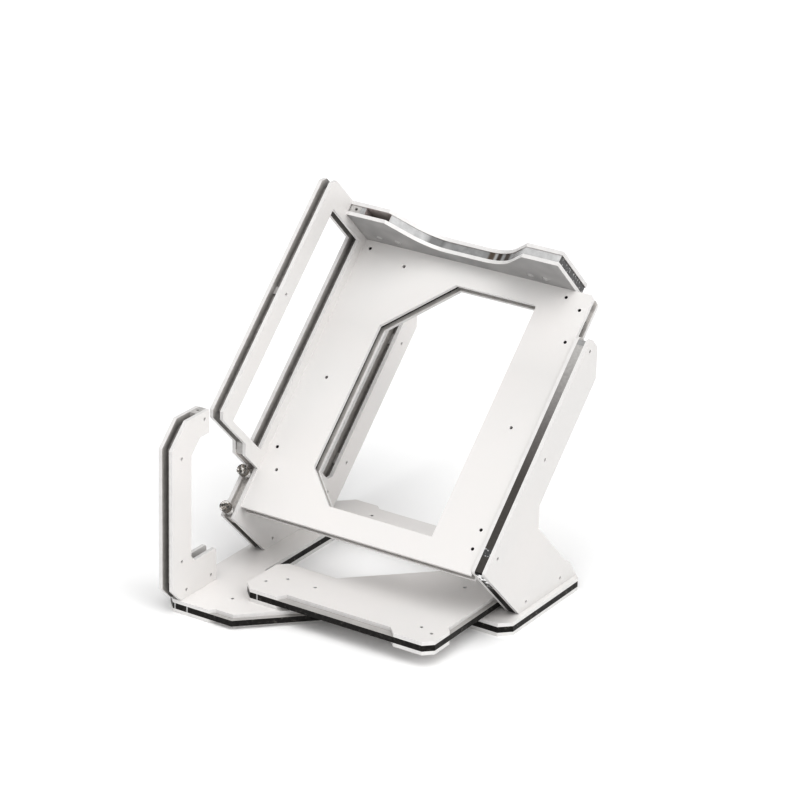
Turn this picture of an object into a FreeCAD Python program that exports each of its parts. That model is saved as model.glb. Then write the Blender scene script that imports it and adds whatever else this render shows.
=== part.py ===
"""Open air test bench: a leaning motherboard tray on a sandwich-plate frame.

Every panel is a sandwich of two white acrylic plates with a core sheet between
them. Small nut blocks sit in the core layer where panels meet, and captive
screws or set screws run into them.

Axes: X to the right along the tray, Y to the back, Z up, in millimetres. The
origin lies on the floor, on the inner face of the left side panel, at the point
where that panel's sloping front edge meets the base. The tray leans back by
tray_lean. In the leaning frame U runs up along the tray and N runs square into
it; both are measured from the point where the left panel meets the base top.
Heights are measured from the base top.
"""
import FreeCAD, Part
import math
import os

Vector = FreeCAD.Vector

# Sheet stock
plate = 4.0                 # white plate, every panel
core = 8.0                  # core sheet of the upright panels, tray and shelf
base_core = 6.0             # core sheet of the two base frames
core_inset = 4.0            # how far a hidden core stays behind the plate edges
side_inset = 9.0            # the same in the left side panel and the card bracket
core_edge = 1.0             # and where a core is meant to be seen
panel = 2 * plate + core
base_panel = 2 * plate + base_core

# Overall layout
tray_lean = 45.0            # degrees from upright
tray_width = 266.0          # X, between the two side panels
tray_bottom_u = 15.0
tray_top_u = 320.5
tray_front_n = -75.0        # front face of the tray
side_proud = 1.5            # how far the side panels' front edges stand before the tray

# Base frame
runner_left = -20.0
runner_right = 26.5
runner_front = -142.5
runner_chamfer = 11.0
wing_start = 61.0           # X where the front edge turns to 45 degrees
wing_right = 130.0
wing_back = -40.0
base_recess = 5.5           # step of the plates behind the core
base_tab = 53.0             # length of the tabs at the ends of the front and rear edges
arm_front = 92.0
arm_rear = 155.0
arm_step = 5.5              # step of the rear edge between its two tabs
arm_chamfer = 26.0
foot_proud = 5.0            # base beyond the right side panel
foot_length = 72.0          # of the right foot, along X
foot_front = -4.5
foot_chamfer = 11.0
inner_radius = 4.0

# Front cross frame
cross_left = 45.0
cross_right_gap = 4.0       # from its right edge to the right side panel
cross_front = -104.0
cross_back = -36.0
cross_deep_back = 61.0      # rear edge of its right-hand end
cross_right_leg = 115.4     # its length along X where the 45 degree rear edge meets Y = 0
cross_chamfer = 9.0
cross_left_chamfer = 10.0
cross_step_front = 9.5      # plates behind the core along the front edge
cross_step_right = 4.8      # plates behind the core along the right edge
cross_tab = 41.0            # length of the two front tabs
cross_left_run = 6.0        # X that the step beside the left tab takes
cross_side_tab = 35.0       # length of the side corner tab

# Card bracket
bracket_front = -155.3
bracket_foot = 72.3         # its depth along the base
bracket_arm = 59.8          # depth of its upper arm
bracket_height = 185.5
bracket_arm_high = 24.2     # height of the upper arm
bracket_foot_top = 34.7
bracket_post = 31.0         # width of the upright post
bracket_top_chamfer = 23.5
bracket_low_chamfer = 14.0
bracket_inner_high = 14.0
bracket_inner_low = 6.0
bracket_foot_radius = 3.0
bracket_end_block = 16.0    # length of the block that closes the upper arm
bracket_screw_deep = 12.0   # tapped hole for a card's bracket in the top of that block

# Left side panel
left_front_n = -174.5       # front edge of the forward frame
left_low_u = 66.0           # lower edge of the forward frame
left_corner = 6.0
left_step_y = -34.5         # short upright edge between frame and toe
left_toe_u = 56.8           # upper edge of the toe that carries the thumb screws
left_rear_n = 85.5
left_rear_cut = 35.1        # N that the upright rear edge takes off the top corner
card_window_front_n = -152.6
card_window_rear_n = -86.5
card_window_low_u = 73.2
window_top_bar = 23.6       # bar above the card window
rear_window_front_n = -37.0
rear_window_rear_n = 58.0
rear_window_low_u = 105.0
rear_window_top_bar = 30.5
rear_window_low_chamfer = 6.0
rear_window_high_chamfer = 16.0
rear_window_radius = 4.0
card_window_radius = 1.5

# Right side panel
right_low_u = 17.7          # lower sloping edge and toe
right_top_drop = 43.5       # from the tray's top edge to the panel's
right_top_n = -57.4         # where the upright edge under the rounded top starts
right_back_n = -34.0        # rear edge of the leaning limb
right_waist_n = -16.6       # short upright edge at the waist
right_leg_u = 95.8          # upper edge of the rear limb
right_leg_n = 60.8
right_knuckle = 9.8         # knuckle above the heel, behind the rear limb's end
right_knuckle_drop = 5.9
right_heel = 22.3           # heel on the base, behind the rear limb's end
right_top_radius = 7.0
right_toe_radius = 3.0

# Tray window and shelf
window_left = 57.5
window_right_bar = 55.0     # bar of the tray to the right of its window
window_low_u = 40.7
tray_top_bar = 24.5         # bar of the tray above its window
window_low_chamfer = 34.5
window_high_chamfer = 61.0
window_radius = 3.0
tray_corner = 3.5
shelf_right_gap = 21.3      # from the shelf's right end to the right side panel's line
shelf_front_n = -128.0
shelf_waist_n = -91.5       # bottom of the hand cut-out
shelf_left_tab = 45.0       # X where the hand cut-out starts
shelf_right_tab = 40.9      # length of the tab at the other end
shelf_cut_radius = 54.0
shelf_pocket_left = 19.0    # open stretch of the shelf core, X
shelf_pocket_right = 47.0
shelf_pocket_deep = 24.0

# Fasteners
hole = 3.4                  # clearance for M3 in a plate
thread = 3.0                # tapped M3 hole
shank = 2.9
head = 5.5
head_high = 3.0
head_room = 1.0             # a head's pocket is this much wider than the head
head_key = 2.2              # socket in a cap screw
key_deep = 1.5
hex_key = 1.5               # socket in a set screw
block = 12.0                # nut block, both ways in the plane of its panel
slim_block = 8.0            # the same in the left panel's front limb
block_gap = 0.2
edge_tap = 10.0             # depth of a tapped hole in a panel's edge
set_length = 5.3
set_sunk = 0.6
set_seat = set_length + set_sunk - plate + 0.5
clamp_up = 1.0              # a clamp screw's tip above the lowest face
foot_screw_high = 8.5       # height of the cross holes above the base
tray_edge_in = 9.0          # nut block centre from the tray's side edges
cover_head = 6.1
cover_head_high = 1.8
cover_sink = 2.0
shelf_drop = 8.8            # from the tray's top edge to its upper nut blocks
shelf_screw_short = 2.0     # the shelf's screws end this far before the tray's cross holes

# Screw places, from the edges of each panel
bracket_foot_in = (22.8, 9.0)       # front and rear foot screws
left_foot_in = (13.0, 20.9)
right_foot_in = (12.5, 31.0)
runner_front_in = (11.2, 33.9)      # clamp screws of the base frame
runner_rear_in = (14.7, 23.4)
foot_rear_in = 41.0
cross_left_in = (13.2, 28.0, 60.1)  # joints of the cross frame, along X
cross_joint_in = (22.6, 38.6)       # and along Y
cross_foot_in = (8.3, 24.2)         # its joint on the right foot
cross_clamp_in = ((26.6, 26.8), (11.5, 20.7))
bracket_high_in = 36.2              # nut blocks in the bracket's post
bracket_low_in = 6.3
bracket_arm_in = 7.5                # set screw in its arm, from both edges
left_rear_in = (28.4, 32.0)         # nut blocks in the rear limb, from its window's ends
left_knee_in = (10.4, 4.0)          # nut block under that window
left_front_up = 136.4               # nut block in the front limb, from its window's low end
left_toe_in = 7.0
tray_low_joint = 69.5               # left joint, from the tray's lower edge
right_low_joint = 25.4              # right joints, from the tray's lower edge and the panel's top
right_high_joint = 10.6
right_mark_in = (3.4, 15.3)         # nut block in the middle of the right limb
tray_low_block = 20.4               # edge blocks of the tray without a side screw
tray_high_block = 18.5
tray_top_block = 28.3               # block under the shelf's right-hand screw
board_top_in = (54.2, 18.8)         # holes for the board
board_left_in = 30.9
board_right_in = 30.3
board_low_in = (19.5, 20.8)
cover_in = 20.0                     # cover screws of the shelf, before the tray's middle
cover_left = (21.0, 43.0)
cover_right = (46.7, 29.7)
shelf_block_off = 0.6               # the shelf's front hole beside the middle of its block

# Thumb screws
slot_pitch = 40.64          # two card slots
thumb_low_u = 7.0
thumb_head = 11.0
thumb_head_long = 6.5
thumb_collar = 8.6
thumb_collar_long = 7.0
thumb_shank = 3.4
thumb_fit = 0.1             # the bar's holes are this much wider than the shank
thumb_groove = 0.45
thumb_grooves = 18
bar_long = 54.0
bar_deep = 13.0

# Places that follow from these
lean = math.radians(tray_lean)
side_front_n = tray_front_n - side_proud
tray_back_n = tray_front_n + panel
joint_n = tray_front_n + panel / 2
left_top_u = tray_top_u + panel
right_top_u = tray_top_u - right_top_drop
left_x = -panel / 2
right_x = tray_width + panel / 2
right_outer = tray_width + panel
foot_right = right_outer + foot_proud
foot_left = foot_right - foot_length
cross_right = tray_width - cross_right_gap
shelf_right = tray_width - shelf_right_gap
window_right = tray_width - window_right_bar
window_high_u = tray_top_u - tray_top_bar
bracket_rear = bracket_front + bracket_foot
bracket_arm_rear = bracket_front + bracket_arm
bracket_arm_low = bracket_height - bracket_arm_high


# Placements
def frame(a, b, c, origin):
    """Placement that takes local X, Y and Z to the directions a, b and c."""
    matrix = FreeCAD.Matrix(a[0], b[0], c[0], origin[0],
                            a[1], b[1], c[1], origin[1],
                            a[2], b[2], c[2], origin[2],
                            0, 0, 0, 1)
    return FreeCAD.Placement(matrix)


def reverse(direction):
    return tuple(-v for v in direction)


sin_l, cos_l = math.sin(lean), math.cos(lean)
axis_u = (0, sin_l, cos_l)
axis_n = (0, cos_l, -sin_l)
datum = (0, 0, base_panel)
FLOOR = frame((1, 0, 0), (0, 1, 0), (0, 0, 1), (0, 0, 0))           # x, y, z
SIDE = frame((0, 1, 0), (0, 0, 1), (1, 0, 0), datum)                # y, height, x
LEAN = frame(axis_u, reverse(axis_n), (1, 0, 0), datum)             # u, -n, x
TRAY = frame((1, 0, 0), axis_u, reverse(axis_n), datum)             # x, u, -n
SHELF = frame((1, 0, 0), axis_n, axis_u, datum)                     # x, n, u


def lean_point(u, n):
    """Y and height of a point given in the leaning frame."""
    return (u * sin_l + n * cos_l, u * cos_l - n * sin_l)


def lean_n(u, y):
    """N of the point at U that lies at the given Y."""
    return (y - u * sin_l) / cos_l


# Shapes
def wire(points):
    """Closed outline; a point may carry a third value, its corner radius."""
    flat = [Vector(p[0], p[1], 0) for p in points]
    radii = [p[2] if len(p) > 2 else 0 for p in points]
    starts, ends, arcs = [], [], []
    count = len(points)
    for i, corner in enumerate(flat):
        if not radii[i]:
            starts.append(corner)
            ends.append(corner)
            arcs.append(None)
            continue
        before = (flat[i - 1] - corner).normalize()
        after = (flat[(i + 1) % count] - corner).normalize()
        half = before.getAngle(after) / 2
        reach = radii[i] / math.tan(half)
        middle = corner + (before + after).normalize() * (radii[i] / math.sin(half))
        near = middle + (corner - middle).normalize() * radii[i]
        starts.append(corner + before * reach)
        ends.append(corner + after * reach)
        arcs.append(near)
    edges = []
    for i in range(count):
        if arcs[i] is not None:
            edges.append(Part.Arc(starts[i], arcs[i], ends[i]).toShape())
        following = starts[(i + 1) % count]
        if (following - ends[i]).Length > 1e-6:
            edges.append(Part.makeLine(ends[i], following))
    return Part.Wire(edges)


def sheet(outline, low, thick, place, windows=(), inset=0):
    """Flat sheet from low to low + thick on local Z; inset takes it back all round."""
    face = Part.Face(wire(outline))
    if inset:
        face = face.makeOffset2D(-inset, 2)
    for window in windows:
        opening = Part.Face(wire(window))
        face = face.cut(opening.makeOffset2D(inset, 2) if inset else opening)
    solid = face.extrude(Vector(0, 0, thick))
    solid.translate(Vector(0, 0, low))
    solid.Placement = place.multiply(solid.Placement)
    return solid


def box(place, low, high):
    """Box between two corners given in a panel's own axes."""
    size = [b - a for a, b in zip(low, high)]
    solid = Part.makeBox(size[0], size[1], size[2], Vector(*low))
    solid.Placement = place.multiply(solid.Placement)
    return solid


def rod(place, diameter, start, axis, length):
    """Cylinder that starts at a point given in a panel's own axes."""
    solid = Part.makeCylinder(diameter / 2, length, Vector(*start), Vector(*axis))
    solid.Placement = place.multiply(solid.Placement)
    return solid


def rods(place, diameter, points, low, length):
    """Cylinders along local Z at each point of a panel's plane."""
    return [rod(place, diameter, (a, b, low), (0, 0, 1), length) for a, b in points]


def drill(solid, cutters):
    """The solid with every cutter taken out of it."""
    return solid.cut(cutters) if cutters else solid


# Nut blocks and screws, gathered by node while the panels are made
blocks = {}
screws = {}


class NutBlock:
    """Block that fills the core layer round a point of its panel."""

    def __init__(self, node, place, point, low, size=(block, block)):
        self.place = place
        corners = [[v - s / 2 for v, s in zip(point, size)], [v + s / 2 for v, s in zip(point, size)]]
        self.body = box(place, (*corners[0], low), (*corners[1], low + core))
        self.pockets = [box(place, (corners[0][0] - block_gap, corners[0][1] - block_gap, low),
                            (corners[1][0] + block_gap, corners[1][1] + block_gap, low + core))]
        self.holes = []
        blocks.setdefault(node, []).append(self)

    def tap(self, start, axis, length, diameter=thread):
        self.holes.append(rod(self.place, diameter, start, axis, length))


def pockets_of(node):
    """Pockets that a panel's core needs for its nut blocks."""
    return [pocket for entry in blocks[node] for pocket in entry.pockets]


def set_screw(node, place, point, face):
    """Set screw with a hexagon socket, sunk under a plate's face."""
    top = face - set_sunk
    body = rod(place, shank, (*point, top), (0, 0, -1), set_length)
    across = hex_key / 2 / math.cos(math.pi / 6)
    corners = [(point[0] + across * math.cos(math.pi * k / 3),
                point[1] + across * math.sin(math.pi * k / 3)) for k in range(6)]
    socket = sheet(corners, top - key_deep, key_deep, place)
    screws.setdefault(node, []).append(body.cut(socket))


def cap_screw(node, place, start, axis, length):
    """Cap screw whose head bears at start; its shank runs along axis."""
    back = reverse(axis)
    body = rod(place, shank, start, axis, length)
    cap = rod(place, head, start, back, head_high)
    seat = tuple(s + b * (head_high - key_deep) for s, b in zip(start, back))
    key = rod(place, head_key, seat, back, key_deep)
    screws.setdefault(node, []).append(body.fuse(cap).cut(key).removeSplitter())


def clamp_screws(node, points, low):
    """Long set screws that hold the three sheets of a base frame together."""
    top = low + base_panel - set_sunk
    for x, y in points:
        body = rod(FLOOR, shank, (x, y, low + clamp_up), (0, 0, 1), top - low - clamp_up)
        key = rod(FLOOR, hex_key, (x, y, top - key_deep), (0, 0, 1), key_deep)
        screws.setdefault(node, []).append(body.cut(key))


# Where the uprights stand on the base, as Y along their lower edges
bracket_feet = [bracket_front + bracket_foot_in[0], bracket_rear - bracket_foot_in[1]]
left_heel_y = lean_point(left_rear_n, left_rear_n)[0]
left_feet = [left_foot_in[0], left_heel_y - left_foot_in[1]]
right_toe_y = lean_point(right_low_u, right_low_u)[0]
right_leg_end = lean_point(right_leg_u, right_leg_n)
right_heel_y = right_leg_end[0] + right_heel
right_feet = [right_toe_y + right_foot_in[0], right_heel_y - right_foot_in[1]]
upright_feet = ([(left_x, y) for y in bracket_feet + left_feet] +
                [(right_x, y) for y in right_feet])


# Base frame
runner_end = runner_left + base_tab
runner_screws = [(runner_right + runner_front_in[0], runner_front + runner_front_in[1]),
                 (runner_right + runner_rear_in[0], arm_rear - runner_rear_in[1]),
                 (foot_right - foot_rear_in, arm_rear - runner_rear_in[1])]
cross_joints = [(cross_left + cross_left_in[0], cross_front + cross_joint_in[0]),
                (cross_left + cross_left_in[1], cross_front + cross_joint_in[1]),
                (cross_left + cross_left_in[2], cross_front + cross_joint_in[1]),
                (foot_left + cross_foot_in[0], foot_front + cross_foot_in[1])]
cross_clamps = [(cross_right - x, cross_front + y) for x, y in cross_clamp_in]


def rear_edge():
    """Rear edge of the base frame, right to left, with its two tabs."""
    return [(foot_right - arm_chamfer, arm_rear), (foot_right - base_tab, arm_rear),
            (foot_right - base_tab - arm_step, arm_rear - arm_step),
            (runner_end + arm_step, arm_rear - arm_step), (runner_end, arm_rear),
            (runner_left + arm_chamfer, arm_rear)]


def base_outline(front):
    """Outline of the base frame from its own list of front edge points."""
    return ([(runner_left + runner_chamfer, runner_front)] + front +
            [(wing_right, wing_back), (runner_right, wing_back, inner_radius),
             (runner_right, arm_front, inner_radius), (foot_left, arm_front, inner_radius),
             (foot_left, foot_front), (foot_right - foot_chamfer, foot_front),
             (foot_right, foot_front + foot_chamfer),
             (foot_right, arm_rear - arm_chamfer)] + rear_edge() +
            [(runner_left, arm_rear - arm_chamfer),
             (runner_left, runner_front + runner_chamfer)])


def base_fronts():
    """Front edges of the base frame: the straight core, then the stepped plates."""
    straight = [(wing_start, runner_front),
                (wing_right, runner_front + wing_right - wing_start)]
    step_x = wing_start + base_recess - base_recess * math.sqrt(2)
    step_y = runner_front + base_recess
    stepped = [(runner_end, runner_front), (runner_end + base_recess, step_y),
               (step_x, step_y), (wing_right, step_y + wing_right - step_x)]
    return straight, stepped


def base_frame(parts):
    straight, stepped = base_fronts()
    captive = upright_feet + cross_joints
    under_head = plate + base_core
    access = rods(FLOOR, hole, captive, 0, base_panel)
    pockets = rods(FLOOR, head + head_room, captive, plate, base_core)
    clamps = rods(FLOOR, hole, runner_screws, plate, base_panel)
    taps = rods(FLOOR, thread, runner_screws, 0, plate)
    bottom = sheet(base_outline(stepped), 0, plate, FLOOR)
    middle = sheet(base_outline(straight), plate, base_core, FLOOR)
    top = sheet(base_outline(stepped), under_head, plate, FLOOR)
    parts["base_bottom_plate"] = drill(bottom, access + taps)
    parts["base_core"] = drill(middle, pockets + clamps)
    parts["base_top_plate"] = drill(top, access + clamps)
    clamp_screws("base_clamp_screws", runner_screws, 0)
    for x, y in upright_feet:
        cap_screw("base_joint_screws", FLOOR, (x, y, under_head), (0, 0, 1), plate + core)
    for x, y in cross_joints:
        cap_screw("front_cross_joint_screws", FLOOR, (x, y, under_head), (0, 0, 1),
                  plate + base_panel - set_sunk)


# Front cross frame
def cross_outline(front):
    """Outline of the front cross frame from its own front and right edges."""
    slope = cross_right - cross_right_leg
    return front + [(cross_deep_back + slope, cross_deep_back),
                    (cross_back + slope, cross_back, inner_radius),
                    (cross_left + cross_chamfer, cross_back),
                    (cross_left, cross_back - cross_chamfer)]


def cross_fronts():
    """Front and right edges: the straight core, then the stepped plates."""
    straight = [(cross_left, cross_front + cross_left_chamfer),
                (cross_left + cross_left_chamfer, cross_front),
                (cross_right - cross_chamfer, cross_front),
                (cross_right, cross_front + cross_chamfer),
                (cross_right, cross_deep_back - cross_chamfer),
                (cross_right - cross_chamfer, cross_deep_back)]
    step_y = cross_front + cross_step_front
    step_x = cross_right - cross_step_right
    tab_x = cross_right - cross_tab
    tab_y = cross_front + cross_side_tab
    left_tab_x = cross_left + cross_tab
    stepped = [(cross_left, cross_front + cross_left_chamfer),
               (cross_left + cross_left_chamfer, cross_front),
               (left_tab_x, cross_front), (left_tab_x + cross_left_run, step_y),
               (tab_x - cross_step_front, step_y), (tab_x, cross_front),
               (cross_right - cross_chamfer, cross_front), (cross_right, cross_front + cross_chamfer),
               (cross_right, tab_y), (step_x, tab_y + cross_step_right),
               (step_x, cross_deep_back - cross_chamfer),
               (step_x - cross_chamfer, cross_deep_back)]
    return straight, stepped


def cross_frame(parts):
    straight, stepped = cross_fronts()
    low = base_panel
    points = cross_joints + cross_clamps
    clamps = rods(FLOOR, hole, points, low + plate, base_panel)
    taps = rods(FLOOR, thread, points, low, plate)
    bottom = sheet(cross_outline(stepped), low, plate, FLOOR)
    middle = sheet(cross_outline(straight), low + plate, base_core, FLOOR)
    top = sheet(cross_outline(stepped), low + plate + base_core, plate, FLOOR)
    parts["front_cross_bottom_plate"] = drill(bottom, taps)
    parts["front_cross_core"] = drill(middle, clamps)
    parts["front_cross_top_plate"] = drill(top, clamps)
    clamp_screws("front_cross_clamp_screws", cross_clamps, low)


def foot_blocks(node, feet, low, middle_x):
    """Nut blocks on a panel's lower edge, tapped from below and from the side."""
    for y in feet:
        entry = NutBlock(node, SIDE, (y, block / 2), low)
        entry.tap((y, foot_screw_high, low), (0, 0, 1), core)
        entry.tap((y, 0, middle_x), (0, 1, 0), foot_screw_high)


def foot_marks(feet):
    """Points of the cross holes above a panel's feet."""
    return [(y, foot_screw_high) for y in feet]


def mark_blocks(node, marks, low):
    """Nut blocks tapped square through the panel."""
    for point in marks:
        NutBlock(node, SIDE, point, low).tap((*point, low), (0, 0, 1), core)


def lean_blocks(node, places, low, size=block):
    """The same in line with the lean, at places given as U and N."""
    for u, n in places:
        NutBlock(node, LEAN, (u, -n), low, (size, size)).tap((u, -n, low), (0, 0, 1), core)


# Card bracket
bracket_post_mid = bracket_front + bracket_post / 2
bracket_marks = [(bracket_post_mid, bracket_height - bracket_high_in),
                 (bracket_post_mid, bracket_foot_top + bracket_low_in)]
bracket_end = (bracket_arm_rear - bracket_end_block / 2, (bracket_height + bracket_arm_low) / 2)
bracket_arm_mark = (bracket_arm_rear - bracket_arm_in, bracket_height - bracket_arm_in)


def bracket_outline():
    post_rear = bracket_front + bracket_post
    return [(bracket_front + bracket_low_chamfer, 0), (bracket_rear, 0),
            (bracket_rear, bracket_foot_top, bracket_foot_radius),
            (post_rear + bracket_inner_low, bracket_foot_top),
            (post_rear, bracket_foot_top + bracket_inner_low),
            (post_rear, bracket_arm_low - bracket_inner_high),
            (post_rear + bracket_inner_high, bracket_arm_low),
            (bracket_arm_rear, bracket_arm_low), (bracket_arm_rear, bracket_height),
            (bracket_front + bracket_top_chamfer, bracket_height),
            (bracket_front, bracket_height - bracket_top_chamfer),
            (bracket_front, bracket_low_chamfer)]


def card_bracket(parts):
    node = "card_bracket_nut_blocks"
    low = plate - panel
    outline = bracket_outline()
    mark_blocks(node, bracket_marks, low)
    foot_blocks(node, bracket_feet, low, left_x)
    end = NutBlock(node, SIDE, bracket_end, low, (bracket_end_block, bracket_arm_high))
    end.tap((*bracket_arm_mark, low + core), (0, 0, -1), set_seat)
    end.tap((bracket_end[0], bracket_height - bracket_screw_deep, left_x), (0, 1, 0),
            bracket_screw_deep)
    marks = foot_marks(bracket_feet) + bracket_marks + [bracket_arm_mark]
    for point in marks:
        set_screw("card_bracket_set_screws", SIDE, point, 0)
    parts["card_bracket_outer_plate"] = sheet(outline, -panel, plate, SIDE)
    parts["card_bracket_core"] = drill(sheet(outline, low, core, SIDE, (), side_inset),
                                       pockets_of(node))
    parts["card_bracket_inner_plate"] = drill(sheet(outline, -plate, plate, SIDE),
                                              rods(SIDE, hole, marks, -plate, plate))


# Left side panel
left_rear_mid_n = (rear_window_rear_n + left_rear_n) / 2
rear_window_high_u = left_top_u - rear_window_top_bar
card_window_high_u = left_top_u - window_top_bar
left_bar_mid_n = (left_front_n + card_window_front_n) / 2
left_rear_marks = [(rear_window_low_u + left_rear_in[0], left_rear_mid_n),
                   (rear_window_high_u - left_rear_in[1], left_rear_mid_n),
                   (rear_window_low_u - left_knee_in[0], rear_window_rear_n + left_knee_in[1])]
left_front_mark = (card_window_low_u + left_front_up, left_bar_mid_n)
left_toe_high = left_low_u / cos_l - left_step_y
left_toe_block = (left_step_y + core_edge + block / 2, left_toe_high - left_toe_in)
tray_joint_low_u = tray_bottom_u + tray_low_joint
tray_joint_high_u = tray_top_u - shelf_drop
shelf_joint = (tray_top_u + panel / 2, shelf_front_n + core_edge + block / 2)


def left_outline():
    left_rear_y = lean_point(left_top_u, left_rear_n - left_rear_cut)[0]
    return [(0, 0), (left_heel_y, 0),
            lean_point(left_rear_y / sin_l - left_rear_n, left_rear_n),
            lean_point(left_top_u, left_rear_n - left_rear_cut),
            lean_point(left_top_u, left_front_n + left_corner),
            lean_point(left_top_u - left_corner, left_front_n),
            lean_point(left_low_u + left_corner, left_front_n),
            lean_point(left_low_u, left_front_n + left_corner),
            lean_point(left_low_u, lean_n(left_low_u, left_step_y)),
            lean_point(left_toe_u, lean_n(left_toe_u, left_step_y)),
            lean_point(left_toe_u, side_front_n),
            lean_point(0, side_front_n)]


def card_window():
    return [lean_point(card_window_low_u, card_window_front_n) + (card_window_radius,),
            lean_point(card_window_low_u, card_window_rear_n),
            lean_point(card_window_high_u, card_window_rear_n),
            lean_point(card_window_high_u, card_window_front_n)]


def rear_window():
    low, high = rear_window_low_chamfer, rear_window_high_chamfer
    return [lean_point(rear_window_low_u, rear_window_front_n) + (rear_window_radius,),
            lean_point(rear_window_low_u, rear_window_rear_n - low),
            lean_point(rear_window_low_u + low, rear_window_rear_n),
            lean_point(rear_window_high_u - high, rear_window_rear_n),
            lean_point(rear_window_high_u, rear_window_rear_n - high),
            lean_point(rear_window_high_u, rear_window_front_n) + (rear_window_radius,)]


def left_side(parts):
    node = "left_side_nut_blocks"
    low = plate - panel
    outline = left_outline()
    windows = [card_window(), rear_window()]
    joints = [lean_point(tray_joint_low_u, joint_n), lean_point(tray_joint_high_u, joint_n),
              lean_point(*shelf_joint)]
    mark_blocks(node, [left_toe_block], low)
    lean_blocks(node, left_rear_marks, low)
    lean_blocks(node, [left_front_mark], low, slim_block)
    foot_blocks(node, left_feet, low, left_x)
    marks = foot_marks(left_feet[:1])
    marks += [lean_point(*place) for place in left_rear_marks + [left_front_mark]]
    for point in marks:
        set_screw("left_side_set_screws", SIDE, point, 0)
    for point in joints:
        cap_screw("left_joint_screws", SIDE, (*point, -plate), (0, 0, 1), plate + core)
    heads = rods(SIDE, head + head_room, joints, low, core)
    outer = sheet(outline, -panel, plate, SIDE, windows)
    middle = sheet(outline, low, core, SIDE, windows, side_inset)
    inner = sheet(outline, -plate, plate, SIDE, windows)
    parts["left_side_outer_plate"] = drill(outer, rods(SIDE, hole, joints, -panel, plate))
    parts["left_side_core"] = drill(middle, pockets_of(node) + heads + [thumb_bar(block_gap)])
    parts["left_side_inner_plate"] = drill(inner, rods(SIDE, hole, marks + joints, -plate, plate))


# Thumb screws and their bar
def thumb_bar(extra):
    """Bar in the left panel's core layer, along the edge that carries the thumb screws."""
    low_u = (left_toe_u - bar_long) / 2
    front = -side_front_n - core_inset
    return box(LEAN, (low_u - extra, front - bar_deep - extra, plate - panel),
               (low_u + bar_long + extra, front + extra, -plate))


def thumb_screw(u):
    """Knurled screw with a plain collar; it lies square to the sloping edge."""
    out = (0, 1, 0)
    seat = (u, -side_front_n, left_x)
    collar_end = (u, -side_front_n + thumb_collar_long, left_x)
    body = rod(LEAN, thumb_collar, seat, out, thumb_collar_long)
    knob = rod(LEAN, thumb_head, collar_end, out, thumb_head_long)
    stem = rod(LEAN, thumb_shank, seat, reverse(out), core_inset + bar_deep)
    centre = LEAN.multVec(Vector(*collar_end))
    axis = LEAN.Rotation.multVec(Vector(*out))
    grooves = []
    for k in range(thumb_grooves):
        groove = rod(LEAN, 2 * thumb_groove, (u + thumb_head / 2, *collar_end[1:]), out,
                     thumb_head_long)
        groove.rotate(centre, axis, k * 360.0 / thumb_grooves)
        grooves.append(groove)
    return body.fuse([knob, stem]).cut(grooves).removeSplitter()


def thumb_screws(parts):
    bar = thumb_bar(0)
    for name, u in (("thumb_screw_lower", thumb_low_u),
                    ("thumb_screw_upper", thumb_low_u + slot_pitch)):
        front = -side_front_n - core_inset
        bar = bar.cut(rod(LEAN, thumb_shank + thumb_fit, (u, front, left_x), (0, -1, 0), bar_deep))
        parts[name] = thumb_screw(u)
    parts["thumb_screw_bar"] = bar


# Right side panel
right_joint_u = [tray_bottom_u + right_low_joint, right_top_u - right_high_joint]
right_mid_u = (right_joint_u[0] + right_joint_u[1]) / 2
right_mark = (right_mid_u - right_mark_in[0], side_front_n + right_mark_in[1])
right_block_deep = 13.0     # joint blocks, from the front edge inwards


def right_outline():
    waist_y = lean_point(right_leg_u, right_waist_n)[0]
    top_y = lean_point(right_top_u, right_top_n)[0]
    return [(right_toe_y, 0), (right_heel_y, 0),
            (right_leg_end[0] + right_knuckle, right_leg_end[1] - right_knuckle_drop),
            right_leg_end, lean_point(right_leg_u, right_waist_n),
            lean_point(waist_y / sin_l - right_back_n, right_back_n),
            lean_point(top_y / sin_l - right_back_n, right_back_n),
            lean_point(right_top_u, right_top_n) + (right_top_radius,),
            lean_point(right_top_u, side_front_n) + (right_top_radius,),
            lean_point(right_low_u, side_front_n) + (right_toe_radius,)]


def joint_blocks(node, low):
    """Blocks at the front edge that hold the heads of the screws into the tray."""
    middle = -side_front_n - core_edge / 2 - right_block_deep / 2
    for u in right_joint_u:
        entry = NutBlock(node, LEAN, (u, middle), low, (block, right_block_deep))
        entry.tap((u, -joint_n, low), (0, 0, 1), core, head + head_room)
    entry.pockets.append(box(LEAN, (right_joint_u[1], middle - right_block_deep / 2, low),
                             (right_top_u, -side_front_n, low + core)))


def right_side(parts):
    node = "right_side_nut_blocks"
    outline = right_outline()
    low = tray_width + plate
    joints = [lean_point(u, joint_n) for u in right_joint_u]
    lean_blocks(node, [right_mark], low)
    foot_blocks(node, right_feet, low, right_x)
    joint_blocks(node, low)
    marks = foot_marks(right_feet) + [lean_point(*right_mark)]
    for point in marks:
        set_screw("right_side_set_screws", SIDE, point, right_outer)
    for point in joints:
        cap_screw("right_joint_screws", SIDE, (*point, low), (0, 0, -1), plate + core)
    inner = sheet(outline, tray_width, plate, SIDE)
    middle = sheet(outline, low, core, SIDE)
    outer = sheet(outline, low + core, plate, SIDE)
    parts["right_side_inner_plate"] = drill(inner, rods(SIDE, hole, joints, tray_width, plate))
    parts["right_side_core"] = drill(middle, pockets_of(node))
    parts["right_side_outer_plate"] = drill(outer, rods(SIDE, hole, joints + marks, low + core,
                                                        plate))


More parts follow.
